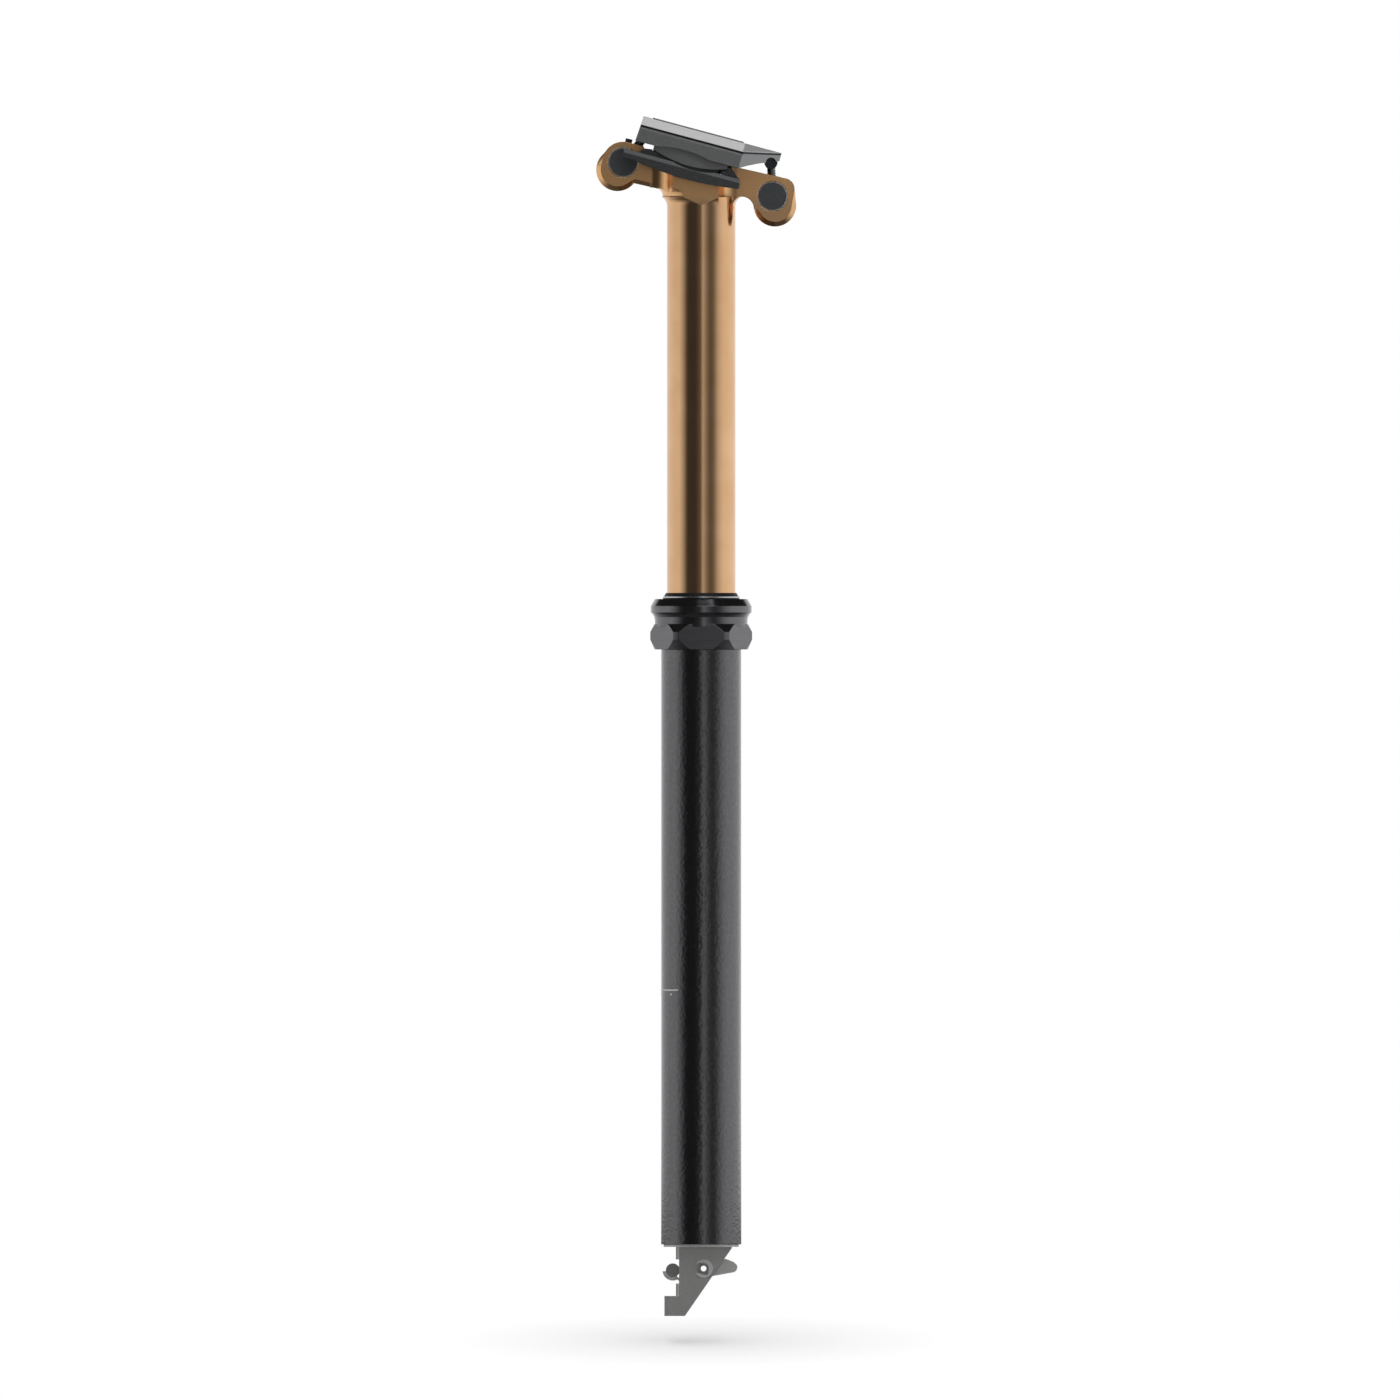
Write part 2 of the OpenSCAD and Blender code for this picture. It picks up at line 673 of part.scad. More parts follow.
// Barrel nuts in the ears, the bolts through them and the small nuts under the top clamp.
module barrel() {
    color("#3a3c3f") difference() {
        rotate([90, 0, 0]) {
            cylinder(h = arm_thickness - 1, r = barrel_r, center = true);
            for (m = [0, 1]) mirror([0, 0, m]) translate([0, 0, half_arm - 0.5])
                cylinder(h = 0.5, r1 = barrel_r, r2 = barrel_r - 0.5);
        }
        translate([0, 0, -20]) cylinder(h = 40, r = bolt_r);
        translate([-6, -3.7, -20]) cube([12, 7.4, 20 - barrel_r + 1]);
    }
}

module bolt(reach) {
    color("#17181a") difference() {
        union() {
            translate([0, 0, 1 - barrel_r]) cylinder(h = reach + barrel_r - 0.4, r = bolt_r);
            translate([0, 0, head_low]) cylinder(h = 1 - barrel_r - head_low, r = head_r);
        }
        translate([0, 0, head_low - 1]) cylinder(h = 3, r = 1.5, $fn = 6);
    }
}

module nut(reach) {
    color("#1a1b1d") difference() {
        translate([0, 0, reach]) rotate([90, 0, 0]) cylinder(h = 2 * nut_half, r = nut_r, center = true);
        cylinder(h = 40, r = bolt_r + run_gap);
    }
}

module front_barrel() {
    at_front_bolt() barrel();
}

module front_bolt() {
    at_front_bolt() bolt(front_reach);
}

module front_nut() {
    at_front_bolt() nut(front_reach);
}

module rear_barrel() {
    at_rear_bolt() barrel();
}

module rear_bolt() {
    at_rear_bolt() bolt(rear_reach);
}

module rear_nut() {
    at_rear_bolt() nut(rear_reach);
}

// Lever: a cam under the push rod, a tongue in front and a hook behind that holds the cable barrel.
module lever() {
    color("#a3a3a1") difference() {
        union() {
            intersection() {
                rod_y(cam_x, pivot_z, cam_r, 2 * lever_half);
                translate([cam_x - cam_r - 1, -lever_half - 1, pivot_z])
                    cube([2 * cam_r + 2, 2 * lever_half + 2, cam_r + 1]);
            }
            translate([pivot_x, 0, pivot_z]) plate_y(2 * lever_half) polygon([[0, 3], [3, 3.6], [8.85, 3.8],
                [11.85, 2.6], [13, 1.6], [13.35, 0.6], [13.1, -0.5], [12.15, -1.4], [3.95, -2.9], [0, -3.6]]);
            translate([pivot_x, 0, pivot_z]) plate_y(2 * lever_half) polygon([[1, 3], [-1, 3], [-8.5, 1.4],
                [-9, -2.4], [-10.4, -4.6], [-8.6, -5], [0, -3.9], [1, -3]]);
            intersection() {
                rod_y(anchor_x, anchor_z, anchor_r + 1.3, 2 * lever_half);
                translate([anchor_x, 0, anchor_z]) plate_y(30)
                    polygon([[0, 0], [-6, -0.6], [-6, -8], [6, -8]]);
            }
        }
        rod_y(pivot_x, pivot_z, pin_r + run_gap, 40);
        rod_y(anchor_x, anchor_z, anchor_r + run_gap, 40);
        translate([anchor_x - 1, -1, anchor_z - 10]) cube([2, 2, 10]);
    }
}

module cable_barrel() {
    color("#5d5b5c") difference() {
        rod_y(anchor_x, anchor_z, anchor_r, 2 * anchor_half);
        translate([anchor_x, 0, anchor_z - 10]) cylinder(h = 20, r = 0.9);
        translate([anchor_x, 0, anchor_z]) rotate([-90, 0, 0]) cylinder(h = 20, r = 1.5);
    }
}

module cable_screw() {
    color("#26282a") difference() {
        translate([anchor_x, 1, anchor_z]) rotate([-90, 0, 0]) cylinder(h = anchor_half - 1.2, r = 1.5);
        translate([anchor_x, anchor_half - 1.4, anchor_z]) rotate([-90, 0, 0])
            cylinder(h = 4, r = 0.8, $fn = 6);
    }
}

module push_rod() {
    color("#b7b9bb") {
        translate([0, 0, rod_low]) cylinder(h = shaft_top + 0.5 - rod_low, r = rod_r);
        translate([0, 0, shaft_top + 0.4]) cylinder(h = 2, r = rod_r + 1.4);
    }
}

lower_post();
collar();
wiper_seal();
wiper_ring();
upper_bushing();
bottom_cap();
damper_shaft();
main_piston();
piston_ring();
bracket();
pivot_pin();
clip_near();
clip_far();
upper_post();
guide_bushing();
key_front();
key_left();
key_right();
bumper();
seal_head();
shaft_seal();
air_valve();
valve_cap();
slot_boot();
floating_piston();
floating_ring();
top_clamp();
cradle();
front_barrel();
front_bolt();
front_nut();
rear_barrel();
rear_bolt();
rear_nut();
lever();
cable_barrel();
cable_screw();
push_rod();
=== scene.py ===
import bpy
import bmesh
import math
import mathutils
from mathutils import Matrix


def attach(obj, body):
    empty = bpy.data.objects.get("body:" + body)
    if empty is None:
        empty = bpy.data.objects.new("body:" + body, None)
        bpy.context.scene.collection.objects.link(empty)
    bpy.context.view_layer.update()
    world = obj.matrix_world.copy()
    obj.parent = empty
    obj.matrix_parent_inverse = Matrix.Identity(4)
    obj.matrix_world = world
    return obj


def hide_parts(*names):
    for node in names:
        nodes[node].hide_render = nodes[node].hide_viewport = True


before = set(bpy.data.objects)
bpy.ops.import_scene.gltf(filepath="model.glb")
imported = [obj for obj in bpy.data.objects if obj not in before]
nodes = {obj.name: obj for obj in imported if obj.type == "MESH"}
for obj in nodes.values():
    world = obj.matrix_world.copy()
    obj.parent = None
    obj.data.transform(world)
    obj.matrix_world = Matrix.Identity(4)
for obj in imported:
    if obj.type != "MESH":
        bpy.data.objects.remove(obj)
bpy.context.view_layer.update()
mm = 0.001
print("frame loaded:", len(nodes), "nodes")


def linear(hexText):
    values = [int(hexText[i:i + 2], 16) / 255 for i in (1, 3, 5)]
    return [v / 12.92 if v <= 0.04045 else ((v + 0.055) / 1.055) ** 2.4 for v in values] + [1.0]


def addNode(tree, kind, links=None, stops=(), **settings):
    # settings are node properties or input sockets, links are input name or number to output socket,
    # and stops are a colour ramp's places, each with its colour or its grey level
    made = tree.nodes.new(kind)
    for key, value in settings.items():
        if hasattr(made, key):
            setattr(made, key, value)
        else:
            made.inputs[key].default_value = value
    for key, source in (links or {}).items():
        tree.links.new(source, made.inputs[key])
    while stops and len(made.color_ramp.elements) < len(stops):
        made.color_ramp.elements.new(0.5)
    for i, (position, colour) in enumerate(stops):
        made.color_ramp.elements[i].position = position
        made.color_ramp.elements[i].color = colour if isinstance(colour, list) else [colour] * 3 + [1.0]
    return made


def startMaterial(name, **settings):
    made = bpy.data.materials.new(name)
    made.use_nodes = True
    tree = made.node_tree
    shader = tree.nodes["Principled BSDF"]
    for key, value in settings.items():
        shader.inputs[key].default_value = value
    place = addNode(tree, "ShaderNodeTexCoord").outputs["Object"]
    return made, tree, shader, place


def grainSkin(tree, shader, grain, finish):
    # the grain picks the skin's colour between two tones, and its gloss between two roughnesses
    tones, gloss = finish["spread"]
    colours = [linear(finish["dark"]), linear(finish["pale"])]
    skin = addNode(tree, "ShaderNodeValToRGB", {"Fac": grain}, stops=list(zip(tones, colours)))
    polish = addNode(tree, "ShaderNodeValToRGB", {"Fac": grain}, stops=list(zip(gloss, finish["roughness"])))
    tree.links.new(polish.outputs["Color"], shader.inputs["Roughness"])
    return skin.outputs["Color"]


def brokenEdges(tree, shader, height, finish):
    # broken edges catch the light, and the fine relief sits on top of them
    strength, deepMm = finish["relief"]
    edge = addNode(tree, "ShaderNodeBevel", Radius=finish["edgeMm"] * mm, samples=6).outputs["Normal"]
    relief = addNode(tree, "ShaderNodeBump", {"Height": height, "Normal": edge},
                     Strength=strength, Distance=deepMm * mm)
    tree.links.new(relief.outputs["Normal"], shader.inputs["Normal"])
    return edge


# cosine of the softened normal's lean from the face's own, where the wear and its painted highlight start and
# where they are full
edgeWearAndHighlight = {"From Min": 0.985, "From Max": 0.86}


def wornEdgesWithHighlight(tree, shader, edge, grain, colour, finish):
    # where the softened normal leaves the face's own, the skin is rubbed through, in patches; the paler rubbed
    # edge is also a painted highlight
    face = addNode(tree, "ShaderNodeNewGeometry").outputs["Normal"]
    apart = addNode(tree, "ShaderNodeVectorMath", {0: edge, 1: face}, operation="DOT_PRODUCT").outputs["Value"]
    near = addNode(tree, "ShaderNodeMapRange", {"Value": apart}, **edgeWearAndHighlight, **{"To Max": finish["cover"]})
    patchy = addNode(tree, "ShaderNodeMath", {0: near.outputs["Result"], 1: grain}, operation="MULTIPLY",
                     use_clamp=True)
    mixed = addNode(tree, "ShaderNodeMix", {"Factor": patchy.outputs["Value"], 6: colour}, data_type="RGBA")
    mixed.inputs[7].default_value = linear(finish["wornAndHighlight"])
    tree.links.new(mixed.outputs[2], shader.inputs["Base Color"])


# In each finish, spread is where the noise's tones and its gloss start and end, relief is the bump's strength
# and depth in mm, and cover is how much of a broken edge is rubbed pale, which also paints a highlight there

# Lower post: aluminium tube, bead blasted and black anodised: dark, with specks where bands of light end;
# the blasted grain is drawn at nearly three times its real half millimetre, so that the specks show
blastedTube = {"dark": "#636365", "pale": "#6b6b6d", "wornAndHighlight": "#8d8d8f", "cover": 1.2, "grainMm": 1.4,
               "roughness": (0.1, 0.16), "spread": ((0.4, 0.7), (0.35, 0.7)), "relief": (1.0, 0.13), "edgeMm": 0.3}


def makeBlackBlasted():
    made, tree, shader, place = startMaterial("black anodised blasted aluminium", Metallic=1.0)
    grain = addNode(tree, "ShaderNodeTexNoise", {"Vector": place}, Scale=1 / (blastedTube["grainMm"] * mm),
                    Detail=2.0, Roughness=0.6).outputs["Fac"]
    skin = grainSkin(tree, shader, grain, blastedTube)
    edge = brokenEdges(tree, shader, grain, blastedTube)
    wornEdgesWithHighlight(tree, shader, edge, grain, skin, blastedTube)
    return made


# Collar: turned aluminium, polished and black anodised: dark with clear reflections and faint turning rings
turnedCollar = {"dark": "#656568", "pale": "#6d6d70", "wornAndHighlight": "#8a8a8e", "cover": 1.0, "ringMm": 0.22,
                "stretch": (0.02, 0.02, 1.0), "roughness": (0.1, 0.16), "spread": ((0.3, 0.7), (0.3, 0.7)),
                "relief": (0.04, 0.02), "edgeMm": 0.3}


def makeBlackTurned():
    made, tree, shader, place = startMaterial("black anodised turned aluminium", Metallic=1.0)
    around = addNode(tree, "ShaderNodeMapping", {"Vector": place}, Scale=turnedCollar["stretch"]).outputs["Vector"]
    rings = addNode(tree, "ShaderNodeTexNoise", {"Vector": around}, Scale=1 / (turnedCollar["ringMm"] * mm),
                    Detail=1.0).outputs["Fac"]
    skin = grainSkin(tree, shader, rings, turnedCollar)
    edge = brokenEdges(tree, shader, rings, turnedCollar)
    wornEdgesWithHighlight(tree, shader, edge, rings, skin, turnedCollar)
    return made


# Upper post: aluminium with a gold sliding coat: the tube is ground to a mirror with hair-fine rings,
# and the forged head above it is blasted to a satin that spreads the light, with painted shade that darkens its
# corners
goldPost = {"gold": "#dab188", "shade": "#d2a77c", "cloudMm": 14, "cloudSpread": (0.3, 0.7),
            "satin": "#e3b27e", "cornerShade": "#6e5a45", "cornerShadeMm": 7, "cornerShadeSpread": (0.45, 0.92),
            "wornAndHighlight": "#e6c79c", "cover": 0.8, "ringMm": 0.3, "stretch": (0.03, 0.03, 1.0), "grainMm": 0.35,
            "tube": (0.1, 0.16), "tubeSpread": (0.3, 0.7), "head": (0.2, 0.27), "headSpread": (0.35, 0.65),
            "headFrom": 175.2 * mm, "headFull": 179.0 * mm, "relief": (0.03, 0.02), "edgeMm": 0.25}


def makeGoldCoat():
    made, tree, shader, place = startMaterial("gold hard coat on aluminium", Metallic=1.0)
    around = addNode(tree, "ShaderNodeMapping", {"Vector": place}, Scale=goldPost["stretch"]).outputs["Vector"]
    rings = addNode(tree, "ShaderNodeTexNoise", {"Vector": around}, Scale=1 / (goldPost["ringMm"] * mm),
                    Detail=2.0).outputs["Fac"]
    grain = addNode(tree, "ShaderNodeTexNoise", {"Vector": place}, Scale=1 / (goldPost["grainMm"] * mm),
                    Detail=3.0).outputs["Fac"]
    cloud = addNode(tree, "ShaderNodeTexNoise", {"Vector": place}, Scale=1 / (goldPost["cloudMm"] * mm),
                    Detail=2.0).outputs["Fac"]
    # painted shade: the head's colour falls to a dark brown where its own surfaces close round it, in its corners
    openness = addNode(tree, "ShaderNodeAmbientOcclusion", only_local=True, samples=8,
                       Distance=goldPost["cornerShadeMm"] * mm).outputs["AO"]
    up = addNode(tree, "ShaderNodeSeparateXYZ", {"Vector": place}).outputs["Z"]
    onHead = addNode(tree, "ShaderNodeMapRange", {"Value": up},
                     **{"From Min": goldPost["headFrom"], "From Max": goldPost["headFull"]}).outputs["Result"]
    toned = {}
    for part, source, tones in (("cloud", cloud, [linear(goldPost["shade"]), linear(goldPost["gold"])]),
                                ("cornerShade", openness, [linear(goldPost["cornerShade"]), linear(goldPost["satin"])]),
                                ("tube", rings, goldPost["tube"]), ("head", grain, goldPost["head"])):
        toned[part] = addNode(tree, "ShaderNodeValToRGB", {"Fac": source},
                              stops=list(zip(goldPost[part + "Spread"], tones))).outputs["Color"]
    skin = addNode(tree, "ShaderNodeMix", {"Factor": onHead, 6: toned["cloud"], 7: toned["cornerShade"]},
                   data_type="RGBA").outputs[2]
    polish = addNode(tree, "ShaderNodeMix", {"Factor": onHead, 6: toned["tube"], 7: toned["head"]},
                     data_type="RGBA").outputs[2]
    tree.links.new(polish, shader.inputs["Roughness"])
    edge = brokenEdges(tree, shader, grain, goldPost)
    wornEdgesWithHighlight(tree, shader, edge, grain, skin, goldPost)
    return made


# Metals, rubber and polymer with a fine even grain, one dictionary for each finish: the grain breaks up
# the gloss, and edges rub paler by handling, which also paints a highlight on them. Grain finer than the picture's
# pixels only dulls the gloss.
grainFinishes = {
    # mid grey and satin, with machined bevels that are paler, and a dark line of painted shade under them
    "grey anodised forged aluminium": {
        "pale": "#949596", "dark": "#868788", "wornAndHighlight": "#c6c6c6", "metallic": 1.0,
        "grainMm": 0.4, "roughness": (0.28, 0.38), "relief": (0.1, 0.05), "edgeMm": 0.3,
        "bare": [("clamp bevel", "#c4c4c4"), ("clamp shade line", "#38383a")]},
    # near black and satin, with faint soft bands of light
    "black anodised forged aluminium": {
        "pale": "#606162", "dark": "#525354", "wornAndHighlight": "#8e8e90", "metallic": 1.0,
        "grainMm": 0.4, "roughness": (0.26, 0.36), "relief": (0.1, 0.05), "edgeMm": 0.3},
    # even dull grey, a little spangled, with broken sheared edges
    "zinc plated pressed steel": {
        "pale": "#d6d6d4", "dark": "#c8c8c6", "wornAndHighlight": "#e6e6e4", "metallic": 0.9,
        "grainMm": 0.7, "roughness": (0.42, 0.52), "relief": (0.06, 0.05), "edgeMm": 0.2},
    # paler than the zinc, and soft in its shine
    "nickel plated steel": {
        "pale": "#efeeec", "dark": "#e4e3e1", "wornAndHighlight": "#f4f3f1", "metallic": 0.8,
        "grainMm": 0.5, "roughness": (0.5, 0.6), "relief": (0.05, 0.05), "edgeMm": 0.15},
    # dry blue-black that hardly shines; the barrels' turned rims carry a pale ring, a painted highlight
    "black phosphated steel": {
        "pale": "#66686b", "dark": "#5a5c5f", "wornAndHighlight": "#a8a8a6", "metallic": 1.0,
        "grainMm": 0.3, "roughness": (0.32, 0.44), "relief": (0.08, 0.05), "edgeMm": 0.2},
    # deep black with an oily sheen
    "black oxide steel": {
        "pale": "#4a4c50", "dark": "#3b3d41", "wornAndHighlight": "#8f9092", "metallic": 1.0,
        "grainMm": 0.3, "roughness": (0.22, 0.32), "relief": (0.06, 0.05), "edgeMm": 0.2},
    # dry mid grey with rubbed edges, which are also a painted highlight
    "grey phosphated steel": {
        "pale": "#b0b0b0", "dark": "#9e9e9e", "wornAndHighlight": "#d2d2d0", "metallic": 1.0,
        "grainMm": 0.3, "roughness": (0.32, 0.44), "relief": (0.08, 0.05), "edgeMm": 0.2},
    # pale and dull, so that it reads as a bright line or ring
    "brushed bare aluminium": {
        "pale": "#f3f3f3", "dark": "#e8e8e8", "wornAndHighlight": "#f6f6f6", "metallic": 0.7,
        "grainMm": 0.3, "roughness": (0.62, 0.72), "relief": (0.06, 0.05), "edgeMm": 0.15},
    # grey shine that runs along the thread's crests
    "rolled bright steel": {
        "pale": "#a6a7a9", "dark": "#97989a", "wornAndHighlight": "#c9c9c9", "metallic": 1.0,
        "grainMm": 0.3, "roughness": (0.16, 0.26), "relief": (0.05, 0.05), "edgeMm": 0.1},
    # clean pale metal with a soft shine
    "machined bare aluminium": {
        "pale": "#c6c7c9", "dark": "#b7b8ba", "wornAndHighlight": "#dcdcde", "metallic": 1.0,
        "grainMm": 0.3, "roughness": (0.2, 0.3), "relief": (0.05, 0.05), "edgeMm": 0.15},
    # mirror bright
    "hard chromed ground steel": {
        "pale": "#d5d6d8", "dark": "#cccdd0", "wornAndHighlight": "#e2e3e5", "metallic": 1.0,
        "grainMm": 0.3, "roughness": (0.06, 0.1), "relief": (0.02, 0.05), "edgeMm": 0.15},
    # yellow metal with a soft shine
    "machined brass": {
        "pale": "#c9a24c", "dark": "#b98f3e", "wornAndHighlight": "#dcbd72", "metallic": 1.0,
        "grainMm": 0.3, "roughness": (0.22, 0.32), "relief": (0.05, 0.05), "edgeMm": 0.15},
    # black and matt, with a faint grain
    "moulded nitrile rubber": {
        "pale": "#1b1c1d", "dark": "#111112", "wornAndHighlight": "#2c2d2e", "metallic": 0.0,
        "grainMm": 0.25, "roughness": (0.45, 0.6), "relief": (0.1, 0.05), "edgeMm": 0.2},
    # drab grey-brown and matt
    "filled bearing polymer": {
        "pale": "#77746a", "dark": "#66635a", "wornAndHighlight": "#8b887e", "metallic": 0.0,
        "grainMm": 0.3, "roughness": (0.4, 0.55), "relief": (0.08, 0.05), "edgeMm": 0.15},
    # flat pale grey with no shine
    "screen printed grey ink": {
        "pale": "#dcdcdc", "dark": "#cccccd", "wornAndHighlight": "#dcdcdc", "metallic": 0.0,
        "grainMm": 0.2, "roughness": (0.45, 0.6), "relief": (0.05, 0.05), "edgeMm": 0.05},
}
# What is the same in all of them
grainCommon = {"spread": ((0.35, 0.65), (0.35, 0.65)), "cover": 1.6}

# Bands by place, in mm: the barrels' turned rims, with a pale ring of painted highlight round their axes, and the
# clamp's machined bevel in bare metal with a dark line of painted shade under it, as bands above its flank that
# rise along the nose
placedBands = {
    "front barrel": {"centre": (28.0995, 0, 178.609), "tilt": 0, "from": 5.45, "to": 5.5, "end": 7},
    "rear barrel": {"centre": (-30.7995, 0, 191.991), "tilt": 0, "from": 5.45, "to": 5.5, "end": 7},
    "clamp bevel": {"centre": (-4.8, 0, 192.7), "tilt": 15, "from": 8.72, "to": 8.8, "end": 12.1},
    "clamp shade line": {"centre": (-4.8, 0, 192.7), "tilt": 15, "from": 7.9, "to": 8.05, "end": 8.72},
}
clampNose = {"From Min": 19.7 * mm, "From Max": 34.9 * mm, "To Max": 3.4 * mm}
rimRoughness = {"To Min": 0.38, "To Max": 0.7}


def addPlacedBand(tree, shader, place, spot, bare):
    # the finish is swapped for another colour (bare metal, a painted highlight, painted shade) between two
    # distances from the piece's own axis or middle plane
    at = placedBands[spot]
    moved = addNode(tree, "ShaderNodeMapping", {"Vector": place}, vector_type="TEXTURE",
                    Location=[c * mm for c in at["centre"]], Rotation=(0, math.radians(at["tilt"]), 0))
    parts = addNode(tree, "ShaderNodeSeparateXYZ", {"Vector": moved.outputs["Vector"]}).outputs
    away = parts["Z"]
    if at["tilt"]:
        # on the clamp's nose the bevel runs out upwards
        rise = addNode(tree, "ShaderNodeMapRange", {"Value": parts["X"]}, **clampNose).outputs["Result"]
        away = addNode(tree, "ShaderNodeMath", {0: away, 1: rise}, operation="SUBTRACT").outputs["Value"]
    else:
        flat = addNode(tree, "ShaderNodeCombineXYZ", {"X": parts["X"], "Y": parts["Z"]}).outputs["Vector"]
        away = addNode(tree, "ShaderNodeVectorMath", {0: flat}, operation="LENGTH").outputs["Value"]
    inside = addNode(tree, "ShaderNodeMapRange", {"Value": away},
                     **{"From Min": at["from"] * mm, "From Max": at["to"] * mm}).outputs["Result"]
    below = addNode(tree, "ShaderNodeMath", {0: away}, operation="LESS_THAN")
    below.inputs[1].default_value = at["end"] * mm
    cover = addNode(tree, "ShaderNodeMath", {0: inside, 1: below.outputs["Value"]}, operation="MULTIPLY")
    skin = shader.inputs["Base Color"].links[0].from_socket
    mixed = addNode(tree, "ShaderNodeMix", {"Factor": cover.outputs["Value"], 6: skin}, data_type="RGBA")
    mixed.inputs[7].default_value = linear(bare)
    tree.links.new(mixed.outputs[2], shader.inputs["Base Color"])
    if not at["tilt"]:
        dull = addNode(tree, "ShaderNodeMapRange", {"Value": cover.outputs["Value"]}, **rimRoughness)
        tree.links.new(dull.outputs["Result"], shader.inputs["Roughness"])


def makeGrainFinish(name):
    finish = dict(grainFinishes[name], **grainCommon)
    made, tree, shader, place = startMaterial(name, Metallic=finish["metallic"])
    grain = addNode(tree, "ShaderNodeTexNoise", {"Vector": place}, Scale=1 / (finish["grainMm"] * mm),
                    Detail=3.0, Roughness=0.6).outputs["Fac"]
    skin = grainSkin(tree, shader, grain, finish)
    edge = brokenEdges(tree, shader, grain, finish)
    wornEdgesWithHighlight(tree, shader, edge, grain, skin, finish)
    for spot, bare in finish.get("bare", []):
        addPlacedBand(tree, shader, place, spot, bare)
    return made


# the barrels' turned rims get a pale dull ring: a painted highlight
for end in ("front", "rear"):
    grainFinishes[end + " barrel phosphated steel"] = dict(grainFinishes["black phosphated steel"],
                                                           bare=[(end + " barrel", "#f4f4f2")])
finishes = {name: makeGrainFinish(name) for name in grainFinishes}
finishes["black anodised blasted aluminium"] = makeBlackBlasted()
finishes["black anodised turned aluminium"] = makeBlackTurned()
finishes["gold hard coat on aluminium"] = makeGoldCoat()

finishNodes = {
    "black anodised blasted aluminium": ["lower_post"],
    "black anodised turned aluminium": ["collar"],
    "gold hard coat on aluminium": ["upper_post"],
    "grey anodised forged aluminium": ["top_clamp"],
    "black anodised forged aluminium": ["cradle", "valve_cap"],
    "zinc plated pressed steel": ["bracket"],
    "nickel plated steel": ["lever"],
    "grey phosphated steel": ["pivot_pin", "cable_barrel"],
    "brushed bare aluminium": ["clip_near", "clip_far", "bottom_cap"],
    "machined bare aluminium": ["wiper_ring", "main_piston", "seal_head", "floating_piston"],
    "hard chromed ground steel": ["damper_shaft", "push_rod"],
    "machined brass": ["key_front", "key_left", "key_right", "air_valve"],
    "moulded nitrile rubber": ["wiper_seal", "bumper", "shaft_seal", "slot_boot", "floating_ring"],
    "filled bearing polymer": ["upper_bushing", "guide_bushing", "piston_ring"],
    "front barrel phosphated steel": ["front_barrel"],
    "rear barrel phosphated steel": ["rear_barrel"],
    "black oxide steel": ["front_nut", "rear_nut", "cable_screw"],
    "rolled bright steel": ["front_bolt", "rear_bolt"],
}
nodeFinish = {node: name for name, held in finishNodes.items() for node in held}
for name, shown in nodes.items():
    shown.data.materials.clear()
    shown.data.materials.append(finishes[nodeFinish[name]])
print("finishes set:", len(finishes))


def startTree(name, sizes):
    tree = bpy.data.node_groups.new(name, "GeometryNodeTree")
    sockets = {}
    for size, kind in sizes.items():
        socket = tree.interface.new_socket(size, in_out="INPUT", socket_type="NodeSocket" + kind)
        sockets[size] = socket.identifier
    tree.interface.new_socket("Geometry", in_out="OUTPUT", socket_type="NodeSocketGeometry")
    return tree, sockets, addNode(tree, "NodeGroupInput").outputs


def endTree(tree, parts, finish):
    joined = addNode(tree, "GeometryNodeJoinGeometry")
    for part in parts:
        tree.links.new(part, joined.inputs["Geometry"])
    real = addNode(tree, "GeometryNodeRealizeInstances", {"Geometry": joined.outputs["Geometry"]})
    coated = addNode(tree, "GeometryNodeSetMaterial",
                     {"Geometry": real.outputs["Geometry"], "Material": finish})
    addNode(tree, "NodeGroupOutput", {"Geometry": coated.outputs["Geometry"]})


creaseAngle = math.radians(35)  # edges sharper than this stay sharp in the smooth shading


def makePiece(name, tree, sockets, values):
    piece = bpy.data.objects.new(name, bpy.data.meshes.new(name))
    bpy.context.collection.objects.link(piece)
    builder = piece.modifiers.new("builder", "NODES")
    builder.node_group = tree
    for size, value in values.items():
        builder[sockets[size]] = value
    evaluated = piece.evaluated_get(bpy.context.evaluated_depsgraph_get())
    mesh = bpy.data.meshes.new_from_object(evaluated)
    piece.modifiers.remove(builder)
    piece.data = mesh
    mesh.polygons.foreach_set("use_smooth", [True] * len(mesh.polygons))
    mesh.set_sharp_from_angle(angle=creaseAngle)
    return piece


# Clamp screws: rolled thread on the shank and a round head with a hexagon socket, in place of the plain bolts;
# they are made upright along Z, leant over and put on the barrels' centres
clampScrew = {"Core Radius": 1.56 * mm, "Ridge": 0.24 * mm, "Pitch": 0.7 * mm, "Thread From": -4.6 * mm,
              "Head Radius": 2.4 * mm, "Head From": -9.2 * mm, "Head Height": 4.2 * mm,
              "Socket Radius": 1.5 * mm, "Socket Depth": 2.0 * mm}
screwPlaces = {"frontScrew": {"node": "front_bolt", "body": "front_screw", "top": 13.8, "lean": -2.72341,
                              "place": (28.0995, 0, 178.609)},
               "rearScrew": {"node": "rear_bolt", "body": "rear_screw", "top": 15.0, "lean": 40.938,
                             "place": (-30.7995, 0, 191.991)}}


